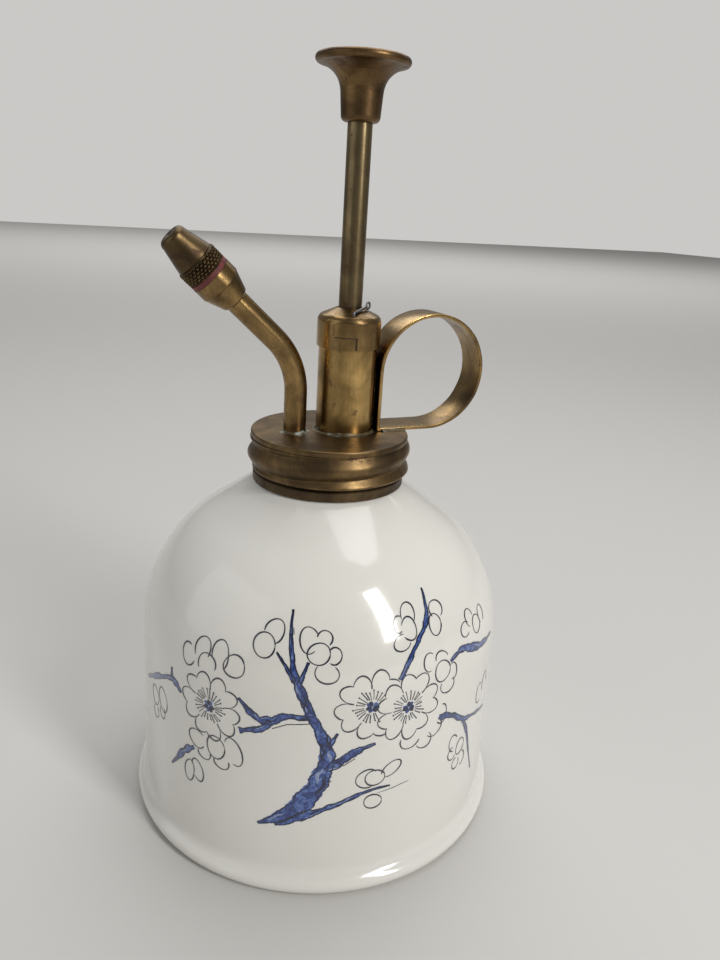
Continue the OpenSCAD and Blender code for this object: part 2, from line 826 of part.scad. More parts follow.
// Fillets along the ring's foot on the plate, and wedges between its leg and the barrel.
module ring_solder() {
    run = plate_r - leg_x - 2.5;
    color("#a9aa93")
        for (side = [-1, 1]) {
            translate([leg_x + 1.5, side * strip_w / 2, cap_z])
                rotate([90, 0, 90])
                    linear_extrude(run)
                        polygon([[0, 0], [side * 0.7, 0], [0, 0.7]]);
            translate([0, 0, cap_z + solder_h])
                linear_extrude(loop_r - solder_h)
                    polygon(concat(
                        arc(barrel_x, 0, barrel_r + wedge_gap, barrel_r + wedge_gap, side * 4, side * wedge_azimuth, 3),
                        [[leg_x, side * barrel_r * sin(wedge_azimuth)], [leg_x, side * barrel_r * sin(4)]]
                    ));
        }
}

bottle();
neck_cement();
neck_collar();
cap_gasket();
cap_plate();
cap_screw_ring();
pump_barrel();
bayonet_lugs();
barrel_cap();
rod_guide();
rod_packing();
cap_pin();
plunger_rod();
plunger_knob();
piston_washer();
piston_cup();
piston_nut();
return_spring();
spring_seat();
valve_block();
passage_plug();
inlet_ball();
inlet_stop_pin();
discharge_ball();
discharge_stop();
dip_tube();
dip_strainer();
spout_tube();
nozzle_body();
nozzle_gasket();
swirl_core();
nozzle_cap();
finger_ring();
barrel_solder();
spout_solder();
ring_solder();
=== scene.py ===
import json
import math
import random

import bmesh
import bpy
import numpy as np
from mathutils import Matrix, Vector


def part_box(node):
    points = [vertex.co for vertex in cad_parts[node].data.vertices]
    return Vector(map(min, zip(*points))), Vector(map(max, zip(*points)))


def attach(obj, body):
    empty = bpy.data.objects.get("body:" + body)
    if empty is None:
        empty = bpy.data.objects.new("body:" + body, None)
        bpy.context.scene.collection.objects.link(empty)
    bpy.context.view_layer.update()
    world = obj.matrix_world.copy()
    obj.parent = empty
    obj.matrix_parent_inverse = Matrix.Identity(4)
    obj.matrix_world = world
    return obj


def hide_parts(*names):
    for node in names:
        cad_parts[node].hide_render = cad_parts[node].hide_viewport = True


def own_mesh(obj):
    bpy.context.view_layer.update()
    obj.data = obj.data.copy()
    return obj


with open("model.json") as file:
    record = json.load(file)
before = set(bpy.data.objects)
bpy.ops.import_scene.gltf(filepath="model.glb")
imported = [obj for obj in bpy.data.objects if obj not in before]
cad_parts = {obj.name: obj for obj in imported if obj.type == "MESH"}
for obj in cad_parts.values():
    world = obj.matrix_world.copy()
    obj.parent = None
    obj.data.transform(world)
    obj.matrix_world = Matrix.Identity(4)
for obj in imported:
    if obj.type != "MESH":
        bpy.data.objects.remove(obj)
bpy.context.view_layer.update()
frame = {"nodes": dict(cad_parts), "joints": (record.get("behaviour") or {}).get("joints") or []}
joints = {j["name"]: j for j in frame["joints"]}
scene = bpy.context.scene

# Where things are, from the CAD boxes, in metres. MM is one millimetre of the design.
foot_low, foot_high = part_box("bottle")
MM = foot_high.x / 50
mouth_z = foot_high.z
plate_low, plate_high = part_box("cap_plate")
cap_z = plate_high.z
barrel_low, barrel_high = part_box("pump_barrel")
barrel_r = (barrel_high.x - barrel_low.x) / 2
barrel_x = (barrel_high.x + barrel_low.x) / 2
ring_low, ring_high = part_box("cap_screw_ring")
loop_low, loop_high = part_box("finger_ring")
tube_low, tube_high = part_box("spout_tube")
tube_r = 2.8 * MM
tube_x = tube_high.x - tube_r


# ---------------------------------------------------------------- helpers
def make_object(name, verts, faces, body, smooth=True, sharp_deg=None):
    """A mesh object from points and faces, riding on a CAD body."""
    mesh = bpy.data.meshes.new(name)
    mesh.from_pydata([tuple(v) for v in verts], [], faces)
    bm = bmesh.new()
    bm.from_mesh(mesh)
    bmesh.ops.recalc_face_normals(bm, faces=bm.faces)
    bm.to_mesh(mesh)
    bm.free()
    mesh.polygons.foreach_set("use_smooth", [smooth] * len(mesh.polygons))
    if smooth and sharp_deg:
        mesh.set_sharp_from_angle(angle=math.radians(sharp_deg))
    mesh.update()
    obj = bpy.data.objects.new(name, mesh)
    scene.collection.objects.link(obj)
    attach(obj, body)
    return obj


def revolve(profile, n, radius=None, centre=(0, 0)):
    """Points and faces of a closed profile turned about Z. radius(r, z, angle) may reshape it."""
    verts, faces = [], []
    m = len(profile)
    for i in range(n):
        a = 2 * math.pi * i / n
        for r, z in profile:
            q = radius(r, z, a) if radius else r
            verts.append((centre[0] + q * math.cos(a), centre[1] + q * math.sin(a), z))
    for i in range(n):
        k = (i + 1) % n
        for j in range(m):
            l = (j + 1) % m
            faces.append((i * m + j, k * m + j, k * m + l, i * m + l))
    return verts, faces


def arc(cx, cy, rx, ry, a0, a1, steps):
    out = []
    for i in range(steps + 1):
        a = math.radians(a0 + (a1 - a0) * i / steps)
        out.append((cx + rx * math.cos(a), cy + ry * math.sin(a)))
    return out


def wave(a, z, seed):
    """A smooth value in -1..1 round the axis and along it, for wear in the metal."""
    rng = random.Random(seed)
    total, weight = 0.0, 0.0
    for k in (2, 3, 5, 8):
        p, q, w = rng.uniform(0, 6.28), rng.uniform(-0.6, 0.6), 1 / k
        total += w * math.sin(k * a + p + q * z)
        weight += w
    return total / weight


# ---------------------------------------------------------------- materials
class Tree:
    """Short names for building a shader."""

    def __init__(self, name):
        self.mat = bpy.data.materials.new(name)
        self.mat.use_nodes = True
        self.nodes = self.mat.node_tree.nodes
        self.links = self.mat.node_tree.links
        self.shader = self.nodes["Principled BSDF"]
        self.where = self.nodes.new("ShaderNodeTexCoord").outputs["Object"]

    def put(self, socket, value):
        if hasattr(value, "is_output"):
            self.links.new(value, socket)
        else:
            socket.default_value = value

    def set(self, name, value):
        self.put(self.shader.inputs[name], value)

    def stretch(self, scale):
        node = self.nodes.new("ShaderNodeMapping")
        node.inputs["Scale"].default_value = scale
        self.links.new(self.where, node.inputs["Vector"])
        return node.outputs["Vector"]

    def noise(self, scale, detail=4, rough=0.55, at=None, distortion=0.0):
        node = self.nodes.new("ShaderNodeTexNoise")
        node.inputs["Scale"].default_value = scale
        node.inputs["Detail"].default_value = detail
        node.inputs["Roughness"].default_value = rough
        node.inputs["Distortion"].default_value = distortion
        self.links.new(at or self.where, node.inputs["Vector"])
        return node.outputs["Fac"]

    def cells(self, scale, at=None):
        node = self.nodes.new("ShaderNodeTexVoronoi")
        node.inputs["Scale"].default_value = scale
        self.links.new(at or self.where, node.inputs["Vector"])
        return node.outputs["Distance"]

    def ramp(self, value, stops):
        node = self.nodes.new("ShaderNodeValToRGB")
        elements = node.color_ramp.elements
        while len(elements) < len(stops):
            elements.new(0.5)
        for e, (place, colour) in zip(elements, stops):
            e.position = place
            e.color = (*colour, 1) if hasattr(colour, "__len__") else (colour, colour, colour, 1)
        self.links.new(value, node.inputs["Fac"])
        return node.outputs["Color"]

    def mix(self, factor, a, b, blend="MIX"):
        node = self.nodes.new("ShaderNodeMix")
        node.data_type = "RGBA"
        node.blend_type = blend
        self.put(node.inputs["Factor"], factor)
        for socket, value in ((node.inputs[6], a), (node.inputs[7], b)):
            self.put(socket, (*value, 1) if isinstance(value, tuple) else value)
        return node.outputs[2]

    def math(self, op, a, b=0.0):
        node = self.nodes.new("ShaderNodeMath")
        node.operation = op
        self.put(node.inputs[0], a)
        self.put(node.inputs[1], b)
        return node.outputs[0]

    def height(self, axis="Z"):
        node = self.nodes.new("ShaderNodeSeparateXYZ")
        self.links.new(self.where, node.inputs[0])
        return node.outputs[axis]

    def span(self, value, low, high, out_low=0.0, out_high=1.0):
        node = self.nodes.new("ShaderNodeMapRange")
        self.put(node.inputs["Value"], value)
        for key, number in (("From Min", low), ("From Max", high), ("To Min", out_low), ("To Max", out_high)):
            node.inputs[key].default_value = number
        return node.outputs["Result"]

    def crevice(self, distance, low, high):
        """1 in corners and grooves, 0 on open faces."""
        node = self.nodes.new("ShaderNodeAmbientOcclusion")
        node.samples = 6
        node.inputs["Distance"].default_value = distance
        return self.span(node.outputs["AO"], high, low, 0.0, 1.0)

    def bump(self, value, strength, distance):
        node = self.nodes.new("ShaderNodeBump")
        node.inputs["Strength"].default_value = strength
        node.inputs["Distance"].default_value = distance
        self.links.new(value, node.inputs["Height"])
        self.links.new(node.outputs["Normal"], self.shader.inputs["Normal"])


def glaze_material():
    t = Tree("white_glaze")
    broad = t.noise(18, 3)
    fine = t.noise(420, 2)
    colour = t.mix(t.ramp(broad, [(0.35, 0.0), (0.7, 1.0)]), (0.80, 0.785, 0.735), (0.84, 0.83, 0.79))
    specks = t.ramp(t.cells(330), [(0.0, 1.0), (0.055, 0.0)])
    rare = t.ramp(t.noise(60, 1), [(0.60, 0.0), (0.68, 1.0)])
    colour = t.mix(t.math("MULTIPLY", t.math("MULTIPLY", specks, rare), 0.35), colour, (0.42, 0.37, 0.30))
    t.set("Base Color", colour)
    t.set("Roughness", t.span(fine, 0.3, 0.7, 0.10, 0.17))
    t.set("Subsurface Weight", 0.12)
    t.set("Subsurface Radius", (1.0, 0.85, 0.7))
    t.set("Subsurface Scale", 0.0022)
    t.set("Coat Weight", 0.6)
    t.set("Coat Roughness", 0.04)
    t.set("IOR", 1.5)
    t.bump(t.math("ADD", t.noise(95, 2), t.math("MULTIPLY", fine, 0.10)), 0.10, 0.00025)
    return t.mat


def bare_foot_material():
    t = Tree("bare_foot")
    grain = t.noise(700, 4)
    t.set("Base Color", t.mix(t.ramp(grain, [(0.3, 0.0), (0.7, 1.0)]), (0.62, 0.57, 0.49), (0.74, 0.70, 0.62)))
    t.set("Roughness", 0.8)
    t.bump(grain, 0.5, 0.0002)
    return t.mat


def brass_material(name, bright, mid, dark, spot, rough, cover=0.5, stretch=(60, 60, 8), spot_share=0.64, pit=0.7,
                   painted_shade=0.0016):
    """Aged brass: a bright metal under an uneven brown skin, with drawing lines, pits and spots, and painted shade in
    its corners and grooves.
    """
    t = Tree(name)
    patina = t.noise(95, 6, 0.62, distortion=0.6)
    broad = t.noise(34, 3, 0.5)
    lines = t.noise(42, 4, 0.6, at=t.stretch(stretch))
    both = t.math("ADD", t.math("MULTIPLY", patina, 0.55), t.math("MULTIPLY", broad, 0.45))
    skin = t.ramp(both, [(cover - 0.13, bright), (cover, mid), (cover + 0.12, dark)])
    streak = t.ramp(lines, [(0.36, 0.0), (0.66, 1.0)])
    skin = t.mix(t.math("MULTIPLY", streak, 0.28), skin, dark)
    spots = t.ramp(t.noise(340, 3, 0.6), [(spot_share, 0.0), (spot_share + 0.06, 1.0)])
    skin = t.mix(t.math("MULTIPLY", spots, 0.6), skin, spot)
    pits = t.ramp(t.cells(900), [(0.0, 1.0), (0.16, 0.0)])
    some = t.ramp(t.noise(170, 2), [(0.54, 0.0), (0.62, 1.0)])
    pitted = t.math("MULTIPLY", pits, some)
    skin = t.mix(t.math("MULTIPLY", pitted, pit), skin, (0.045, 0.028, 0.015))
    # Painted shade: the colour darkens in corners and grooves by ambient occlusion, a little unevenly with the patina.
    crevice_shade = t.math("MULTIPLY", t.crevice(painted_shade, 0.25, 0.80), t.span(patina, 0.3, 0.6, 0.75, 1.0))
    skin = t.mix(t.math("MULTIPLY", crevice_shade, 0.85), skin, (0.020, 0.013, 0.007))
    t.set("Base Color", skin)
    t.set("Metallic", t.span(spots, 0.0, 1.0, 1.0, 0.72))
    base = t.span(both, 0.35, 0.65, rough - 0.08, rough + 0.14)
    t.set("Roughness", t.math("ADD", base, t.math("MULTIPLY", spots, 0.16)))
    relief = t.math("ADD", t.math("MULTIPLY", lines, 0.35), t.math("MULTIPLY", patina, 0.4))
    relief = t.math("SUBTRACT", relief, t.math("MULTIPLY", pitted, 0.7 * pit))
    t.bump(relief, 0.22, 0.00016)
    return t.mat


def plain_metal(name, a, b, rough, scale=300, metallic=1.0):
    t = Tree(name)
    value = t.noise(scale, 4)
    t.set("Base Color", t.mix(t.ramp(value, [(0.35, 0.0), (0.65, 1.0)]), a, b))
    t.set("Metallic", metallic)
    t.set("Roughness", t.span(value, 0.3, 0.7, rough - 0.06, rough + 0.1))
    t.bump(value, 0.15, 0.0001)
    return t.mat


def solder_material():
    """Grey solder with a chalky pale-green bloom."""
    t = Tree("solder")
    grain = t.noise(520, 5, 0.65)
    broad = t.noise(330, 3)
    bloom = t.math("MULTIPLY", t.ramp(broad, [(0.48, 0.0), (0.62, 1.0)]), t.ramp(grain, [(0.44, 0.0), (0.54, 1.0)]))
    base = t.mix(t.ramp(grain, [(0.3, 0.0), (0.7, 1.0)]), (0.07, 0.052, 0.026), (0.20, 0.155, 0.08))
    chalk = t.mix(t.ramp(broad, [(0.45, 0.0), (0.65, 1.0)]), (0.22, 0.33, 0.31), (0.50, 0.52, 0.46))
    t.set("Base Color", t.mix(bloom, base, chalk))
    t.set("Metallic", t.span(bloom, 0, 1, 0.7, 0.0))
    t.set("Roughness", t.span(bloom, 0, 1, 0.45, 0.85))
    t.bump(grain, 0.6, 0.0002)
    return t.mat


def soft_material(name, a, b, rough, scale):
    t = Tree(name)
    value = t.noise(scale, 4)
    t.set("Base Color", t.mix(t.ramp(value, [(0.35, 0.0), (0.65, 1.0)]), a, b))
    t.set("Roughness", t.span(value, 0.3, 0.7, rough - 0.08, rough + 0.08))
    t.bump(value, 0.35, 0.00012)
    return t.mat


def paint_material(name, stops, scale, coat=0.8):
    """Cobalt under the glaze."""
    t = Tree(name)
    wash = t.noise(scale, 5, 0.65, distortion=1.2)
    t.set("Base Color", t.ramp(wash, stops))
    t.set("Roughness", t.span(wash, 0.3, 0.7, 0.14, 0.22))
    t.set("Coat Weight", coat)
    t.set("Coat Roughness", 0.04)
    return t.mat


glaze = glaze_material()
bare_foot = bare_foot_material()
BRIGHT, MID, DARK = (0.53, 0.345, 0.135), (0.27, 0.175, 0.072), (0.105, 0.067, 0.033)
brass = brass_material("aged_brass", BRIGHT, MID, DARK, (0.075, 0.030, 0.017), 0.24, 0.50)
cap_brass = brass_material("cap_brass", (0.42, 0.28, 0.12), (0.215, 0.14, 0.062), (0.09, 0.060, 0.032),
                           (0.075, 0.030, 0.017), 0.36, 0.47, (20, 20, 20), 0.62)
barrel_brass = brass_material("barrel_brass", (0.60, 0.40, 0.155), (0.34, 0.22, 0.082), (0.14, 0.088, 0.038),
                              (0.075, 0.030, 0.017), 0.20, 0.54, (90, 90, 5), 0.66)
knob_brass = brass_material("knob_brass", (0.30, 0.19, 0.075), (0.165, 0.10, 0.045), (0.075, 0.046, 0.024),
                            (0.075, 0.030, 0.017), 0.34, 0.48, (30, 30, 30), 0.60)
tip_brass = brass_material("tip_brass", (0.26, 0.18, 0.08), (0.13, 0.088, 0.042), (0.06, 0.04, 0.023),
                           (0.075, 0.030, 0.017), 0.34, 0.47, (30, 30, 30), 0.64, 0.25, 0.0009)
collar_brass = brass_material("collar_brass", (0.20, 0.14, 0.07), (0.10, 0.07, 0.04), (0.05, 0.036, 0.024),
                              (0.075, 0.030, 0.017), 0.44, 0.48, (20, 20, 20), 0.60)
rod_brass = brass_material("rod_brass", (0.33, 0.25, 0.13), (0.20, 0.15, 0.08), (0.10, 0.07, 0.04),
                           (0.075, 0.030, 0.017), 0.30, 0.50, (90, 90, 4), 0.64)
inner_brass = plain_metal("inner_brass", (0.46, 0.34, 0.14), (0.30, 0.22, 0.09), 0.38)
steel = plain_metal("steel", (0.27, 0.27, 0.28), (0.14, 0.14, 0.15), 0.32, 900)
solder = solder_material()
rubber = soft_material("red_rubber", (0.17, 0.027, 0.024), (0.09, 0.016, 0.016), 0.58, 500)
leather = soft_material("leather", (0.20, 0.12, 0.07), (0.11, 0.065, 0.035), 0.7, 420)
# The colour of the painted shade line along the barrel cap's channels.
shade_line_material = soft_material("painted_shade", (0.030, 0.020, 0.012), (0.060, 0.042, 0.022), 0.7, 900)
cement = soft_material("cement", (0.62, 0.60, 0.53), (0.48, 0.45, 0.39), 0.9, 600)
blue_wash = paint_material("blue_wash", [(0.32, (0.010, 0.018, 0.085)), (0.46, (0.026, 0.055, 0.22)),
                                         (0.58, (0.075, 0.140, 0.40)), (0.72, (0.24, 0.34, 0.58))], 520)
blue_dark = paint_material("blue_dark", [(0.35, (0.004, 0.007, 0.030)), (0.65, (0.013, 0.022, 0.080))], 600)
blue_pale = paint_material("blue_pale", [(0.35, (0.11, 0.17, 0.36)), (0.65, (0.30, 0.37, 0.54))], 500)
ink = paint_material("ink", [(0.35, (0.012, 0.014, 0.026)), (0.65, (0.050, 0.055, 0.078))], 800)


def dress(obj, material):
    obj.data.materials.clear()
    obj.data.materials.append(material)
    return obj


# ---------------------------------------------------------------- bottle
FOOT_R, LIP, FOOT_H = 50 * MM, 2.3 * MM, 6.8 * MM
WALL_R0, WALL_R1, WALL_H = 47.7 * MM, 47.05 * MM, 49.4 * MM
NECK_R, NECK_BORE, NECK_Z = 16.4 * MM, 14.0 * MM, mouth_z - 8.5 * MM
CURVE, TURN = 34.5 * MM, math.radians(56.5)
WALL_T = 3.5 * MM
run = WALL_R1 - NECK_R - CURVE * (1 - math.cos(TURN))
cot = math.cos(TURN) / (CURVE * math.sin(TURN))
DOME_H = (NECK_Z - WALL_H) / (math.sin(TURN) + run * cot)


def outer_profile():
    lip = arc(FOOT_R - LIP, LIP, LIP, LIP, -90, 60, 20)
    end = lip[-1]
    corner = (WALL_R0 + 0.2 * MM, end[1] + 0.7 * MM)
    flare = []
    for i in range(1, 13):
        t = i / 12
        flare.append(tuple((1 - t) ** 2 * end[k] + 2 * t * (1 - t) * corner[k] + t * t * (WALL_R0, FOOT_H)[k]
                           for k in (0, 1)))
    wall = [(WALL_R0 + (WALL_R1 - WALL_R0) * i / 24, FOOT_H + (WALL_H - FOOT_H) * i / 24) for i in range(1, 24)]
    dome = arc(WALL_R1 - CURVE, WALL_H, CURVE, DOME_H, 0, math.degrees(TURN), 60)
    top = dome[-1]
    slope = [(top[0] + (NECK_R - top[0]) * i / 12, top[1] + (NECK_Z - top[1]) * i / 12) for i in range(1, 13)]
    return lip + flare + wall + dome + slope


OUTER = outer_profile()
edge = 0.6 * MM
neck_out = [(NECK_R, mouth_z - edge)] + arc(NECK_R - edge, mouth_z - edge, edge, edge, 15, 90, 5)
neck_in = arc(NECK_BORE + edge, mouth_z - edge, edge, edge, 90, 180, 6)
in_curve, in_h = CURVE - WALL_T, DOME_H - WALL_T
in_dome = arc(WALL_R1 - CURVE, WALL_H, in_curve, in_h, math.degrees(TURN), 0, 40)
in_slope = in_h * math.cos(TURN) / (in_curve * math.sin(TURN))
in_top = [(NECK_BORE, in_dome[0][1] + (in_dome[0][0] - NECK_BORE) * in_slope)]
FLOOR_Z = 6.5 * MM
in_floor = arc(WALL_R0 - WALL_T - 8 * MM, FLOOR_Z + 8 * MM, 8 * MM, 8 * MM, 0, -90, 12)
in_floor.append((0.02 * MM, FLOOR_Z))
RECESS = 2.5 * MM
under = [(0.02 * MM, RECESS), (FOOT_R - LIP - 6 * MM - RECESS * 0.6, RECESS), (FOOT_R - LIP - 6 * MM, 0.3 * MM),
         (FOOT_R - LIP - 5.7 * MM, 0.0)]
bottle_profile = OUTER + neck_out + neck_in + in_top + in_dome + in_floor + under
# The glaze edge at the foot is a separate material: faces under the standing ring.
verts, faces = revolve(bottle_profile, 256)
bottle = make_object("bottle_glazed", verts, faces, "bottle", sharp_deg=40)
dress(bottle, glaze)
bottle.data.materials.append(bare_foot)
for poly in bottle.data.polygons:
    c = poly.center
    r = math.hypot(c.x, c.y)
    if c.z < 0.12 * MM and FOOT_R - LIP - 5.7 * MM < r < FOOT_R - LIP + 0.1 * MM:
        poly.material_index = 1
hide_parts("bottle")


# ---------------------------------------------------------------- painted spray
# Places on the bottle are (azimuth in degrees, height in mm). LENGTH is measured along the profile.
prof_r = np.array([p[0] for p in OUTER])
prof_z = np.array([p[1] for p in OUTER])
prof_l = np.concatenate([[0], np.cumsum(np.hypot(np.diff(prof_r), np.diff(prof_z)))])
first = 21


def along(z_mm):
    return float(np.interp(z_mm * MM, prof_z[first:], prof_l[first:]))


def radius_at(l):
    return float(np.interp(l, prof_l, prof_r))


def surface(az, l, lift):
    """A point off the glaze, at an azimuth in radians and a length along the profile."""
    r, z = np.interp(l, prof_l, prof_r), np.interp(l, prof_l, prof_z)
    step = 0.5 * MM
    dr = np.interp(l + step, prof_l, prof_r) - np.interp(l - step, prof_l, prof_r)
    dz = np.interp(l + step, prof_l, prof_z) - np.interp(l - step, prof_l, prof_z)
    n = math.hypot(dr, dz)
    nr, nz = dz / n, -dr / n
    return ((r + nr * lift) * math.cos(az), (r + nr * lift) * math.sin(az), z + nz * lift)


class Paint:
    """Gathers thin strokes that lie on the glaze into one mesh."""

    def __init__(self, name, material, lift):
        self.name, self.material, self.lift = name, material, lift * MM
        self.verts, self.faces = [], []

    def stroke(self, line, widths, cols=1):
        """line is (azimuth rad, length m) samples, widths in metres."""
        n = len(line)
        if n < 2:
            return
        base = len(self.verts)
        for i, (az, l) in enumerate(line):
            a, b = line[max(0, i - 1)], line[min(n - 1, i + 1)]
            r = radius_at(l)
            du, dl = (b[0] - a[0]) * r, b[1] - a[1]
            size = math.hypot(du, dl) or 1e-9
            su, sl = -dl / size, du / size
            for height in (self.lift, -0.05 * MM):
                for k in range(cols + 1):
                    s = (k / cols - 0.5) * widths[i]
                    self.verts.append(surface(az + s * su / r, l + s * sl, height))
        m = cols + 1
        row = 2 * m
        for i in range(n - 1):
            a, b = base + i * row, base + (i + 1) * row
            for k in range(cols):
                self.faces.append((a + k, a + k + 1, b + k + 1, b + k))
                self.faces.append((a + m + k, b + m + k, b + m + k + 1, a + m + k + 1))
            self.faces.append((a, b, b + m, a + m))
            self.faces.append((a + cols, a + m + cols, b + m + cols, b + cols))
        for i in (0, n - 1):
            a = base + i * row
            for k in range(cols):
                self.faces.append((a + k, a + k + 1, a + m + k + 1, a + m + k))

    def finish(self, slot=None):
        obj = make_object(self.name, self.verts, self.faces, "bottle", smooth=False)
        return dress(obj, self.material)


washes = Paint("spray_wash", blue_wash, 0.030)
pales = Paint("spray_pale", blue_pale, 0.040)
darks = Paint("spray_dark", blue_dark, 0.050)
inks = Paint("spray_lines", ink, 0.045)


def curve(points, per=10):
    """Catmull-Rom through tuples of numbers."""
    pts = [points[0]] + list(points) + [points[-1]]
    out = []
    for i in range(1, len(pts) - 2):
        p0, p1, p2, p3 = (np.array(p, float) for p in pts[i - 1:i + 3])
        for k in range(per):
            t = k / per
            out.append(0.5 * ((2 * p1) + (p2 - p0) * t + (2 * p0 - 5 * p1 + 4 * p2 - p3) * t * t
                              + (3 * p1 - p0 - 3 * p2 + p3) * t ** 3))
    out.append(np.array(pts[-2], float))
    return out


def place(points):
    """(azimuth deg, height mm, ...) to (azimuth rad, length m, ...)."""
    return [(math.radians(p[0]), along(p[1]), *p[2:]) for p in points]


def branch(points, seed, streaks=3, ragged=0.16):
    """A brushed branch. points are (azimuth, height, width in mm)."""
    rng = random.Random(seed)
    line = curve(place(points), 12)
    n = len(line)
    phases = [rng.uniform(0, 6.28) for _ in range(4)]
    rag = [1 + ragged * (math.sin(i * 0.9 + phases[0]) * 0.5 + math.sin(i * 0.37 + phases[1])
                         + 0.4 * math.sin(i * 2.1 + phases[2])) for i in range(n)]
    widths = [max(0.18, line[i][2] * rag[i]) * MM for i in range(n)]
    washes.stroke([(p[0], p[1]) for p in line], widths, 4)
    for side in (-1, 1):
        lean = rng.uniform(0.40, 0.5)
        wob = rng.uniform(0, 6.28)
        path, wide = [], []
        for i, p in enumerate(line):
            a, b = line[max(0, i - 1)], line[min(n - 1, i + 1)]
            r = radius_at(p[1])
            du, dl = (b[0] - a[0]) * r, b[1] - a[1]
            size = math.hypot(du, dl) or 1e-9
            s = side * widths[i] * (lean + 0.06 * math.sin(i * 0.5 + wob))
            path.append((p[0] - dl / size * s / r, p[1] + du / size * s))
            wide.append((0.20 + 0.16 * abs(math.sin(i * 0.33 + wob))) * MM)
        darks.stroke(path, wide)
    for q in range(streaks):
        lane = rng.uniform(-0.33, 0.33)
        start = rng.randrange(0, max(1, n - 8))
        stop = min(n, start + rng.randrange(7, 18))
        target = darks if rng.random() < 0.62 else pales
        path, wide = [], []
        for i in range(start, stop):
            p = line[i]
            a, b = line[max(0, i - 1)], line[min(n - 1, i + 1)]
            r = radius_at(p[1])
            du, dl = (b[0] - a[0]) * r, b[1] - a[1]
            size = math.hypot(du, dl) or 1e-9
            s = widths[i] * (lane + 0.07 * math.sin(i * 0.7 + q))
            path.append((p[0] - dl / size * s / r, p[1] + du / size * s))
            share = (i - start + 0.5) / (stop - start)
            wide.append(widths[i] * (0.06 + 0.13 * math.sin(math.pi * share)))
        target.stroke(path, wide)


def local(az, z, points):
    """Points in mm round a place on the glaze, to (azimuth rad, length m)."""
    l0 = along(z)
    out = []
    for u, v in points:
        l = l0 + v * MM
        out.append((math.radians(az) + u * MM / radius_at(l), l))
    return out


def line(points, width=0.40, seed=0):
    rng = random.Random(seed)
    n = len(points)
    p = rng.uniform(0, 6.28)
    widths = [(width * (0.78 + 0.22 * math.sin(i * 0.31 + p))) * MM for i in range(n)]
    for k, share in ((0, 0.45), (1, 0.75)):
        if n > 4:
            widths[k] *= share
            widths[-1 - k] *= share
    inks.stroke(points, widths)


def oval(az, z, rx, ry, turn=0, start=0, stop=360, seed=0, width=0.40):
    """A petal or a bud, drawn as one line from one angle to another, slightly uneven."""
    rng = random.Random(seed * 7 + int(az * 3) + int(z * 5))
    wob = [rng.uniform(-0.04, 0.04) for _ in range(3)]
    pts = []
    steps = max(12, int(abs(stop - start) / 9))
    c, s = math.cos(math.radians(turn)), math.sin(math.radians(turn))
    for i in range(steps + 1):
        a = math.radians(start + (stop - start) * i / steps)
        k = 1 + wob[0] * math.sin(a + 1) + wob[1] * math.sin(2 * a) + wob[2] * math.cos(3 * a)
        u, v = rx * k * math.cos(a), ry * k * math.sin(a)
        pts.append((u * c - v * s, u * s + v * c))
    line(local(az, z, pts), width, seed)


def blossom(az, z, size, turn, seed, hidden=None):
    """An open blossom seen from the front: five notched petals, stamens and a blue heart."""
    rng = random.Random(seed)
    petals = 5
    for k in range(petals):
        a0 = turn + 360 / petals * k
        lobes = ((0, 0.5), (0.5, 1))
        for lo, hi in lobes:
            r0 = size * (0.70 if lo == 0 else 0.87) * rng.uniform(0.97, 1.03)
            r1 = size * (0.70 if hi == 1 else 0.87) * rng.uniform(0.97, 1.03)
            t0 = math.radians(a0 + 360 / petals * lo)
            t1 = math.radians(a0 + 360 / petals * hi)
            bulge = size * rng.uniform(1.0, 1.09)
            pts = []
            for i in range(17):
                s = i / 16
                t = t0 + (t1 - t0) * s
                r = (r0 + (r1 - r0) * s) * (1 - math.sin(math.pi * s) ** 0.7) + bulge * math.sin(math.pi * s) ** 0.7
                pts.append((r * math.cos(t), r * math.sin(t)))
            shown = [p for p in pts if not (hidden and hidden(*p))]
            if len(shown) > 2:
                line(local(az, z, shown), 0.40, seed * 31 + k)
        t = math.radians(a0)
        short = [(size * q * math.cos(t), size * q * math.sin(t)) for q in (0.70, 0.62, 0.55)]
        if not (hidden and hidden(*short[0])):
            line(local(az, z, short), 0.34, seed + k)
    for k in range(26):
        t = math.radians(360 / 26 * k + rng.uniform(-4, 4))
        inner, outer = size * rng.uniform(0.20, 0.27), size * rng.uniform(0.42, 0.56)
        ends = [((inner + (outer - inner) * s) * math.cos(t + 0.05 * s), (inner + (outer - inner) * s) * math.sin(t + 0.05 * s))
                for s in (0, 0.35, 0.7, 1)]
        if hidden and hidden(*ends[-1]):
            continue
        line(local(az, z, ends), 0.26, seed + k)
        if rng.random() < 0.75:
            u, v = ends[-1]
            dot = [(u - 0.16, v - 0.05), (u - 0.05, v), (u + 0.07, v + 0.02), (u + 0.17, v + 0.06)]
            inks.stroke(local(az, z, dot), [0.20 * MM, 0.42 * MM, 0.42 * MM, 0.20 * MM])
    for k in range(7):
        t = math.radians(360 / 7 * k + rng.uniform(-14, 14))
        r = size * 0.115
        u, v = r * math.cos(t), r * math.sin(t)
        half = size * rng.uniform(0.065, 0.09)
        blob = [(u - half * math.cos(t), v - half * math.sin(t)), (u, v), (u + half * math.cos(t), v + half * math.sin(t))]
        target = washes if k % 2 else darks
        target.stroke(local(az, z, blob), [0.55 * MM, 1.15 * MM, 0.5 * MM], 2)
    pales.stroke(local(az, z, [(-0.35, -0.1), (0, 0.05), (0.4, 0.1)]), [0.3 * MM, 0.5 * MM, 0.3 * MM])


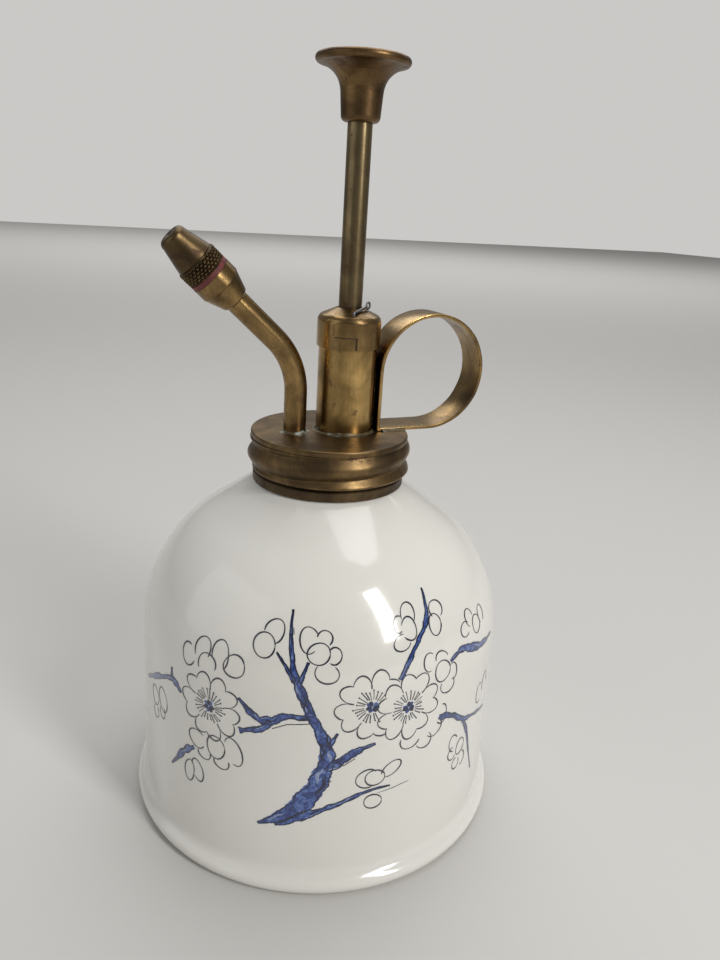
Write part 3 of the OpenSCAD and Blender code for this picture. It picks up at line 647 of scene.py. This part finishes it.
# Trunk and branches.
branch([(-127.5, 18.2, 0.5), (-122, 20.6, 2.6), (-116.5, 24.4, 4.4), (-112, 29.2, 5.0), (-110, 33.6, 4.2),
        (-108.8, 37.5, 3.6), (-109.3, 41, 3.0), (-111, 44.6, 2.5), (-113.6, 48.8, 2.1), (-115.6, 52.6, 2.3),
        (-117.4, 55.8, 2.0), (-119, 59.2, 1.3), (-120.2, 64, 0.9), (-120.8, 67.4, 0.55), (-121, 71, 0.22)], 3, 16, 0.10)
branch([(-113.6, 48.2, 1.0), (-117, 48.2, 1.3), (-120.5, 48.2, 1.4), (-124, 46.6, 2.3), (-127.5, 46.3, 1.7),
        (-130.5, 47.8, 1.5), (-134, 50.6, 0.5)], 5, 5)
branch([(-124.5, 46.2, 1.6), (-127, 44.0, 1.7), (-130, 43.2, 1.3), (-133.6, 42.2, 1.2)], 7, 3)
branch([(-109.2, 34.6, 1.2), (-106.2, 36.2, 2.2), (-102.4, 38.5, 2.1), (-99, 39.9, 1.3), (-95.4, 40.8, 0.4)], 11, 5)
branch([(-108.8, 40.4, 1.3), (-107.5, 42.4, 1.0), (-106.2, 44.4, 0.4)], 13, 1)
branch([(-122.5, 18.6, 0.5), (-118, 20.4, 1.7), (-113.5, 22.2, 1.9), (-109, 23.9, 1.2), (-104.5, 25.4, 1.1),
        (-100, 27.1, 0.9), (-95, 28.2, 0.5), (-90, 28.3, 0.22)], 17, 6)
branch([(-118.5, 56.6, 0.9), (-120.6, 59.2, 0.7), (-122.6, 61.2, 0.4), (-124.2, 62.6, 0.22)], 19, 1)
branch([(-117.2, 56.2, 1.0), (-116.2, 58.6, 0.7), (-115, 61.2, 0.35)], 23, 1)
branch([(-154.5, 45.2, 0.6), (-156.8, 46.6, 1.7), (-159, 47.2, 1.6), (-162, 46.4, 1.0), (-167.5, 44.2, 1.4),
        (-174, 41.2, 1.1), (-178, 39.4, 0.4)], 29, 5)
branch([(-158.8, 47.4, 1.2), (-159.2, 49, 0.7), (-159, 50.4, 0.3)], 31, 1)
branch([(-159.5, 23.2, 0.3), (-157, 25.6, 0.9), (-154.4, 28.6, 1.6), (-151.6, 31.0, 1.5), (-149, 32.4, 0.8)], 37, 4)
branch([(-89, 56.0, 1.1), (-87, 58.6, 1.2), (-84.4, 61.6, 1.0), (-81.6, 64.2, 0.9), (-78.6, 66.6, 1.2),
        (-77, 69.4, 0.8), (-76.2, 73.2, 0.2)], 41, 4)
branch([(-74.6, 42.8, 1.4), (-71, 42.0, 1.5), (-67.5, 40.6, 1.2), (-62.5, 37.6, 1.4), (-58, 36.4, 0.8), (-52, 35, 0.7),
        (-45, 33.4, 0.4)], 43, 5)
branch([(-62.5, 37.2, 1.2), (-60, 33.8, 1.1), (-58.2, 30, 0.8), (-56.5, 25.6, 0.5), (-53, 18, 0.2)], 47, 3)
branch([(-71, 56.4, 0.6), (-68, 57.4, 1.0), (-65, 57.8, 1.4), (-61, 56.8, 2.0), (-55.5, 55.4, 1.8), (-50, 54.8, 1.0),
        (-44, 54.6, 0.4)], 53, 5)
line(place([(-94, 26.9), (-91.5, 27.1), (-89, 27.4), (-86.5, 27.8), (-84, 28)]), 0.24, 2)
line(place([(-112, 47), (-116, 46.6), (-120, 46.2), (-124, 44.6)]), 0.24, 3)
line(place([(-107, 35.4), (-104, 35.8), (-101, 37.4)]), 0.22, 4)
line(place([(-108.6, 33), (-107.4, 31.6), (-109.6, 29.8), (-111, 27.4)]), 0.26, 5)
line(place([(-121.2, 71), (-119.9, 67), (-118.9, 62), (-118, 57.6)]), 0.24, 6)

# Open blossoms.
blossom(-143.5, 45.7, 8.1, 14, 61)
blossom(-86, 48.6, 8.0, 40, 67)


def behind_right(u, v):
    """Whether a point near the left of the two right blossoms is covered by the right one."""
    gap = math.radians(-86 + 97) * WALL_R1 / MM
    return math.hypot(u - gap, v + 2.0) < 7.4


blossom(-97, 50.6, 8.1, 22, 71, behind_right)

# Buds and half-hidden petals, group by group: azimuth, height, half width, half height, turn, arc.
for entry in [
    (-152, 56.4, 2.0, 2.7, 10, 60, 330), (-147, 59, 2.2, 3.0, -12, -20, 230), (-145, 56.0, 2.5, 2.5, 0, -20, 215),
    (-140.8, 59.2, 2.2, 3.4, 4, -60, 200), (-136, 57.6, 2.7, 2.6, 20, 0, 360),
    (-148, 35.4, 2.6, 2.3, -20, 60, 350), (-145, 32.4, 1.9, 1.6, 0, 170, 380), (-141, 35.4, 2.5, 3.0, 16, 0, 360),
    (-135.2, 35.8, 2.1, 3.7, 24, -130, 130), (-139, 31.8, 2.1, 1.7, 0, 160, 385),
    (-151, 25.2, 1.6, 3.0, -6, 0, 360), (-147.6, 26.6, 1.7, 3.0, 20, -150, 150),
    (-170, 37.6, 2.0, 2.6, 10, 0, 360), (-164.5, 38.8, 2.0, 3.3, 14, 0, 360), (-169.5, 33.2, 1.5, 1.7, 0, 130, 420),
    (-165, 35.2, 1.3, 1.8, 10, 140, 400),
    (-128, 63.6, 2.5, 2.8, 0, 0, 360), (-125.6, 66.6, 2.2, 2.7, -6, -70, 190),
    (-115.2, 65.6, 2.1, 2.9, 8, 20, 300), (-112.2, 63.0, 2.5, 2.4, 0, 0, 360), (-110.8, 66, 1.7, 1.8, 0, -50, 170),
    (-107.8, 62.6, 1.5, 1.9, 0, -130, 140), (-109.8, 58.9, 2.7, 2.2, -14, 150, 420),
    (-84.4, 69.2, 1.8, 2.7, -4, -50, 200), (-88, 67.6, 1.3, 1.9, 0, 60, 300), (-84.8, 66.4, 1.9, 2.7, 10, -150, 150),
    (-87.6, 63.9, 2.2, 1.8, 20, 60, 330), (-73.4, 68.6, 2.0, 2.1, 0, -60, 220), (-75, 65.8, 1.8, 2.5, 4, 0, 360),
    (-59.2, 63.6, 1.6, 2.2, 14, -10, 240), (-51.5, 62.2, 1.5, 2.3, 0, -60, 240), (-55.6, 61, 1.9, 2.3, 0, 0, 360),
    (-62.4, 61.6, 1.9, 1.8, 0, 40, 320),
    (-79, 58.2, 1.7, 2.2, 0, 50, 280), (-74.4, 58.2, 1.9, 1.7, 0, 0, 190), (-74.2, 55.0, 2.4, 2.6, 0, 0, 360),
    (-70, 53.8, 1.4, 2.1, 0, -110, 120), (-72.2, 50.8, 2.3, 2.1, 0, 150, 400),
    (-84.8, 39.4, 2.6, 2.2, 0, 160, 350), (-79.8, 38.0, 2.2, 2.1, 10, 190, 400), (-76.2, 40.6, 2.4, 2.4, 0, 220, 420),
    (-73.6, 43.4, 1.7, 2.6, 0, 220, 450),
    (-66.5, 32.2, 1.7, 2.4, 10, 20, 260), (-62.6, 29.8, 1.7, 2.2, -10, 0, 360), (-66.8, 29.2, 1.5, 1.8, 0, 80, 330),
    (-64.4, 25.4, 1.4, 1.6, 0, 90, 400), (-61, 25.6, 1.2, 2.0, 0, -120, 100),
    (-97.2, 31.4, 2.6, 2.5, 0, 40, 300), (-94.8, 31.4, 2.4, 2.1, 8, 0, 360), (-90, 33.0, 2.8, 1.6, 34, -150, 160),
    (-95, 24.8, 2.2, 1.9, 0, 0, 360), (-52, 40.5, 2.0, 2.8, 0, 60, 300), (-47.5, 41.5, 1.8, 3.0, -8, 0, 220),
]:
    oval(*entry, seed=int(entry[1]))
spray = [p.finish() for p in (washes, pales, darks, inks)]

# ---------------------------------------------------------------- cap ring with its rolled thread
thread_depth = 1.4 * MM
pitch = joints["cap_lift"]["range_m"][1] / 1.25
ring_z0, ring_z1 = ring_low.z, ring_high.z
ring_top_r = (ring_high.x - ring_low.x) / 2 - thread_depth


def roll(z, a):
    turn = (z - ring_z0) / pitch - a / (2 * math.pi) + 0.78
    ridge = (0.5 + 0.5 * math.cos(2 * math.pi * turn)) ** 0.65
    fade = min(1, (z - ring_z0) / (1.1 * MM), (ring_z1 - z) / (1.1 * MM))
    dent = 1 - 0.035 * (1 + wave(a, z / MM * 0.5, 5))
    return ring_top_r + thread_depth * dent * ridge * math.sin(math.pi / 2 * max(0, fade))


def rolled_ring():
    n, rows, wall = 256, 72, 0.85 * MM
    verts, faces = [], []
    for inset in (0, wall):
        for j in range(rows + 1):
            z = ring_z0 + (ring_z1 - ring_z0) * j / rows
            for i in range(n):
                a = 2 * math.pi * i / n
                r = roll(z, a) - inset
                verts.append((r * math.cos(a), r * math.sin(a), z))
    shell = n * (rows + 1)
    for j in range(rows):
        for i in range(n):
            k = (i + 1) % n
            a, b = j * n, (j + 1) * n
            faces.append((a + i, a + k, b + k, b + i))
            faces.append((shell + a + i, shell + b + i, shell + b + k, shell + a + k))
    last = rows * n
    for i in range(n):
        k = (i + 1) % n
        faces.append((i, shell + i, shell + k, k))
        faces.append((last + i, last + k, shell + last + k, shell + last + i))
    return verts, faces


ring = make_object("cap_ring_rolled", *rolled_ring(), "pump_head", sharp_deg=60)
dress(ring, cap_brass)
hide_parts("cap_screw_ring")

# ---------------------------------------------------------------- nozzle cap with its knurled band
turn_joint = joints["nozzle_cap_turn"]
nozzle_at = Vector(turn_joint["pos_m"])
nozzle_dir = Vector(turn_joint["axis"]).normalized()
side = Vector((0, 1, 0))
other = side.cross(nozzle_dir)
NOZZLE = Matrix((other, side, nozzle_dir)).transposed().to_4x4()
NOZZLE.translation = nozzle_at


def nozzle_cap_mesh():
    """Cone and knurled band, as one revolved skin. The knurl's diamonds are cut into the band."""
    n = 448
    s0, s1 = 9.1, 12.5
    prof = [(4.9, s0)]
    band = [(5.1, s0 + 0.2 + (s1 - s0 - 0.4) * i / 42) for i in range(43)]
    prof += band
    prof += [(4.85, s1), (4.6, s1), (4.55, s1 + 0.12), (4.6, s1 + 0.3)]
    cone = [(4.72 + (3.23 - 4.72) * (i / 14), s1 + 0.42 + (18.58 - s1) * (i / 14)) for i in range(15)]
    prof += cone[:-1]
    prof += arc(1.95, 18.9, 1.3, 1.3, 8, 90, 10)
    prof += [(0.9, 20.2), (0.62, 20.05), (0.5, 19.5), (0.5, 17.6), (1.2, 17.2), (3.64, 14.2), (3.64, s0)]

    def shape(r, z, a):
        if r > 5.05 and s0 + 0.15 < z < s1 - 0.15:
            turns = 28 * a / (2 * math.pi)
            lean = (z - s0) / (s1 - s0) * 2.6
            one = abs((turns + lean) % 1 - 0.5) * 2
            two = abs((turns - lean) % 1 - 0.5) * 2
            return r - 0.42 * max(one ** 2.2, two ** 2.2)
        if 12.6 < z < 19 and r > 3:
            return r - 0.03 * (1 + wave(a, z * 0.6, 9))
        return r

    verts, faces = revolve(prof, n, shape)
    verts = [NOZZLE @ Vector((x * MM, y * MM, z * MM)) for x, y, z in verts]
    return verts, faces


tip = make_object("nozzle_cap_knurled", *nozzle_cap_mesh(), "nozzle_cap", sharp_deg=48)
dress(tip, tip_brass)
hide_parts("nozzle_cap")


# ---------------------------------------------------------------- solder, uneven as a hand leaves it
def fillet_mesh(x, r, width, height, seed):
    """A fillet round a tube on the cap plate, with an uneven edge."""
    n, m = 160, 8
    verts, faces = [], []
    for i in range(n):
        a = 2 * math.pi * i / n
        w = width * (0.62 + 0.36 * wave(a * 2, 0, seed))
        h = height * (0.62 + 0.36 * wave(a * 2, 2, seed + 1))
        pts = [(r - 0.02 * MM, cap_z - 0.02 * MM), (r + w, cap_z - 0.02 * MM)]
        for k in range(m + 1):
            t = k / m
            pts.append((r + w * (1 - t) ** 1.9, cap_z + h * t ** 1.9))
        pts.append((r - 0.02 * MM, cap_z + h))
        for q, z in pts:
            verts.append((x + q * math.cos(a), q * math.sin(a), z))
    count = m + 4
    for i in range(n):
        k = (i + 1) % n
        for j in range(count):
            l = (j + 1) % count
            faces.append((i * count + j, k * count + j, k * count + l, i * count + l))
    return verts, faces


spout_bead = make_object("spout_solder_bead", *fillet_mesh(tube_x, tube_r, 1.3 * MM, 1.0 * MM, 3), "pump_head")
dress(spout_bead, solder)
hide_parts("spout_solder")
barrel_bead = make_object("barrel_solder_bead", *fillet_mesh(barrel_x, barrel_r, 1.3 * MM, 1.0 * MM, 7), "pump_head")
dress(barrel_bead, solder)
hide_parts("barrel_solder")


# ---------------------------------------------------------------- finger ring: a rolled strip
def ring_strip():
    """The strip follows the CAD outline, with softened edges and a slightly wavy width."""
    t = 0.9 * MM
    x0, z0 = loop_low.x, loop_low.z
    rad = (loop_high.z - loop_low.z) / 2
    cx, cz = x0 + rad, z0 + rad
    half = (loop_high.y - loop_low.y) / 2
    steps_leg = 14
    outline = [(x0, cz - (cz - z0) * i / steps_leg, -1.0, 0.0) for i in range(steps_leg)]
    outline.append((x0, z0, -0.7071, -0.7071))
    outline += [(x0 + rad * i / steps_leg, z0, 0.0, -1.0) for i in range(1, steps_leg)]
    for i in range(109):
        a = math.radians(-90 + 270 * i / 108)
        outline.append((cx + rad * math.cos(a), cz + rad * math.sin(a), math.cos(a), math.sin(a)))
    outline.pop()
    n = len(outline)
    sect_steps = 5
    soft = 0.22 * MM
    verts, faces = [], []
    length = 0.0
    for i, (x, z, nx, nz) in enumerate(outline):
        grow = 1 - 0.018 * (1 + math.sin(i * 0.21) * 0.6 + math.sin(i * 0.53 + 1) * 0.4)
        h = half * grow
        corner = abs(nx) > 0.6 and abs(nz) > 0.6 and i == steps_leg
        depth = t * (1.41421 if corner else 1.0)
        sect = []
        for cy, cd, a0 in ((h - soft, soft, 0), (-h + soft, soft, 90), (-h + soft, t - soft, 180), (h - soft, t - soft, 270)):
            for k in range(sect_steps + 1):
                a = math.radians(a0 + 90 * k / sect_steps)
                sect.append((cy + soft * math.cos(a), cd - soft * math.sin(a)))
        for y, d in sect:
            verts.append((x - nx * d * depth / t, y, z - nz * d * depth / t))
    m = 4 * (sect_steps + 1)
    for i in range(n):
        k = (i + 1) % n
        for j in range(m):
            l = (j + 1) % m
            faces.append((i * m + j, k * m + j, k * m + l, i * m + l))
    return verts, faces


strip = make_object("finger_ring_strip", *ring_strip(), "pump_head", sharp_deg=50)
dress(strip, brass)
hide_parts("finger_ring")


# ---------------------------------------------------------------- painted shade along the barrel cap's raised channels
def channel_shade_line():
    """A thin dark line of painted shade against the lower left edge of each L-shaped channel."""
    skirt_z = barrel_high.z - 5.3 * MM
    lug_z = skirt_z + 4.7 * MM
    r0, r1 = barrel_r + 0.45 * MM, barrel_r + 0.78 * MM
    low, high, width = lug_z - 1.65 * MM, lug_z + 1.3 * MM, 0.26 * MM
    left, leg = math.radians(-138.04), math.radians(-98.04)
    path = [(left, high - (high - low) * i / 8, 0) for i in range(8)]
    path += [(left + (leg - left) * i / 24, low, 1) for i in range(25)]
    path += [(leg, low - (low - skirt_z - 0.1 * MM) * i / 8, 0) for i in range(1, 9)]
    verts, faces = [], []
    for side in (0, math.pi):
        base = len(verts)
        for a, z, level in path:
            lift = width if level else 0
            turn = 0 if level else width / barrel_r
            for r in (r0, r1):
                verts.append((barrel_x + r * math.cos(a + side), r * math.sin(a + side), z))
                q = a + side - turn
                verts.append((barrel_x + r * math.cos(q), r * math.sin(q), z - lift))
        for i in range(len(path) - 1):
            a, b = base + 4 * i, base + 4 * i + 4
            faces += [(a, a + 1, b + 1, b), (a + 2, b + 2, b + 3, a + 3), (a, b, b + 2, a + 2), (a + 1, a + 3, b + 3, b + 1)]
        for a in (base, base + 4 * (len(path) - 1)):
            faces.append((a, a + 2, a + 3, a + 1))
    return verts, faces


# A dark strip of painted shade where the raised channel edge is shaded.
painted_shade = make_object("channel_shade_line", *channel_shade_line(), "barrel_cap", smooth=False)
dress(painted_shade, shade_line_material)


# ---------------------------------------------------------------- return spring, a coil of one length riding on the pump head
spring_low, spring_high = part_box("return_spring")


def spring_mesh():
    """A round wire on a helix of eight turns, between the ends of the CAD spring."""
    turns, per_turn, sides = 8, 40, 10
    wire = 0.44 * MM
    mean = 4.69 * MM
    steps = turns * per_turn
    verts, faces = [], []
    for i in range(steps + 1):
        a = 2 * math.pi * i / per_turn
        z = spring_low.z + 1.05 * wire + (spring_high.z - spring_low.z - 2.1 * wire) * i / steps
        for s in range(sides):
            b = 2 * math.pi * s / sides
            r = mean + wire * math.cos(b)
            verts.append((barrel_x + r * math.cos(a), r * math.sin(a), z + wire * math.sin(b)))
    for i in range(steps):
        for s in range(sides):
            k = (s + 1) % sides
            faces.append((i * sides + s, i * sides + k, (i + 1) * sides + k, (i + 1) * sides + s))
    faces.append(tuple(range(sides)))
    faces.append(tuple(steps * sides + s for s in range(sides)))
    return verts, faces


coil = make_object("return_spring_coil", *spring_mesh(), "pump_head", sharp_deg=60)
dress(coil, steel)
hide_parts("return_spring")
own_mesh(coil)


# ---------------------------------------------------------------- materials for the CAD nodes that show as they are
NODE_LOOKS = {
    "cap_plate": (cap_brass, "aged_brass"),
    "pump_barrel": (barrel_brass, "aged_brass"),
    "bayonet_lugs": (barrel_brass, "aged_brass"),
    "barrel_cap": (brass, "aged_brass"),
    "plunger_rod": (rod_brass, "aged_brass"),
    "plunger_knob": (knob_brass, "dark_brass"),
    "spout_tube": (brass, "aged_brass"),
    "nozzle_body": (brass, "aged_brass"),
    "neck_collar": (collar_brass, "dark_brass"),
    "nozzle_gasket": (rubber, "red_rubber"),
    "cap_pin": (steel, "steel"),
    "return_spring": (steel, "steel"),
    "inlet_ball": (steel, "steel"),
    "inlet_stop_pin": (steel, "steel"),
    "discharge_ball": (steel, "steel"),
    "ring_solder": (solder, "solder"),
    "neck_cement": (cement, "cement"),
    "cap_gasket": (leather, "leather"),
    "rod_packing": (leather, "leather"),
    "piston_cup": (leather, "leather"),
}
for name, obj in frame["nodes"].items():
    if obj.hide_render:
        continue
    material, slot = NODE_LOOKS.get(name, (inner_brass, "inner_brass"))
    dress(obj, material)

# ---------------------------------------------------------------- floor, light and camera
mesh = bpy.data.meshes.new("floor")
span = 4.0
mesh.from_pydata([(-span, -span, 0), (span, -span, 0), (span, span, 0), (-span, span, 0)], [], [(0, 1, 2, 3)])
floor = bpy.data.objects.new("floor", mesh)
scene.collection.objects.link(floor)
floor_mat = bpy.data.materials.new("floor")
floor_mat.use_nodes = True
floor_shader = floor_mat.node_tree.nodes["Principled BSDF"]
floor_shader.inputs["Base Color"].default_value = (0.62, 0.61, 0.59, 1)
floor_shader.inputs["Roughness"].default_value = 0.75
mesh.materials.append(floor_mat)

PHI = math.radians(23.5)


def from_photo(x, y, z):
    """A point given with X to the picture's right and Y away from the camera, to the row frame."""
    return Vector((x * math.cos(PHI) + y * math.sin(PHI), -x * math.sin(PHI) + y * math.cos(PHI), z))


def lamp(name, at, aim, wide, tall, watts, colour=(1, 1, 1)):
    data = bpy.data.lights.new(name, "AREA")
    data.shape = "RECTANGLE"
    data.size, data.size_y = wide, tall
    data.energy = watts
    data.color = colour
    obj = bpy.data.objects.new(name, data)
    obj.location = from_photo(*at)
    obj.rotation_mode = "QUATERNION"
    obj.rotation_quaternion = (from_photo(*aim) - obj.location).to_track_quat("-Z", "Y")
    scene.collection.objects.link(obj)


lamp("key", (0.52, -0.50, 0.52), (0, 0, 0.09), 0.15, 0.60, 3.9, (1.0, 0.985, 0.96))
lamp("fill", (-0.80, -0.40, 0.40), (0, 0, 0.10), 0.90, 0.80, 1.2, (0.97, 0.985, 1.0))
lamp("far", (0.0, 2.2, 1.7), (0, 2.4, 0), 3.2, 1.6, 34.0)
lamp("top", (0.05, 0.20, 0.80), (0, 0, 0.10), 0.70, 0.50, 2.4)

world = bpy.data.worlds.new("studio")
world.use_nodes = True
sky = world.node_tree.nodes["Background"]
sky.inputs["Color"].default_value = (0.80, 0.79, 0.77, 1)
# The backdrop looks pale to the camera and lights the metal a little less.
path = world.node_tree.nodes.new("ShaderNodeLightPath")
strength = world.node_tree.nodes.new("ShaderNodeMath")
strength.operation = "MULTIPLY_ADD"
strength.inputs[1].default_value = 0.46
strength.inputs[2].default_value = 0.28
world.node_tree.links.new(path.outputs["Is Camera Ray"], strength.inputs[0])
world.node_tree.links.new(strength.outputs[0], sky.inputs["Strength"])
scene.world = world
scene.view_settings.view_transform = "Standard"

PITCH, YAW, ROLL = math.radians(19.20), math.radians(1.39), math.radians(3.62)
ahead = Vector((math.sin(YAW) * math.cos(PITCH), math.cos(YAW) * math.cos(PITCH), -math.sin(PITCH)))
right = Vector((math.cos(YAW), -math.sin(YAW), 0))
up = right.cross(ahead)
right2 = math.cos(ROLL) * right + math.sin(ROLL) * up
up2 = -math.sin(ROLL) * right + math.cos(ROLL) * up
basis = Matrix([from_photo(*right2), from_photo(*up2), -from_photo(*ahead)]).transposed()
camera_data = bpy.data.cameras.new("camera")
camera_data.sensor_width = 36
camera_data.lens = 36 * 777 / 960
camera_data.clip_start, camera_data.clip_end = 0.01, 20
camera = bpy.data.objects.new("camera", camera_data)
camera.matrix_world = Matrix.Translation(from_photo(3.85 * MM, -190.8 * MM, 154.3 * MM)) @ basis.to_4x4()
scene.collection.objects.link(camera)
scene.camera = camera
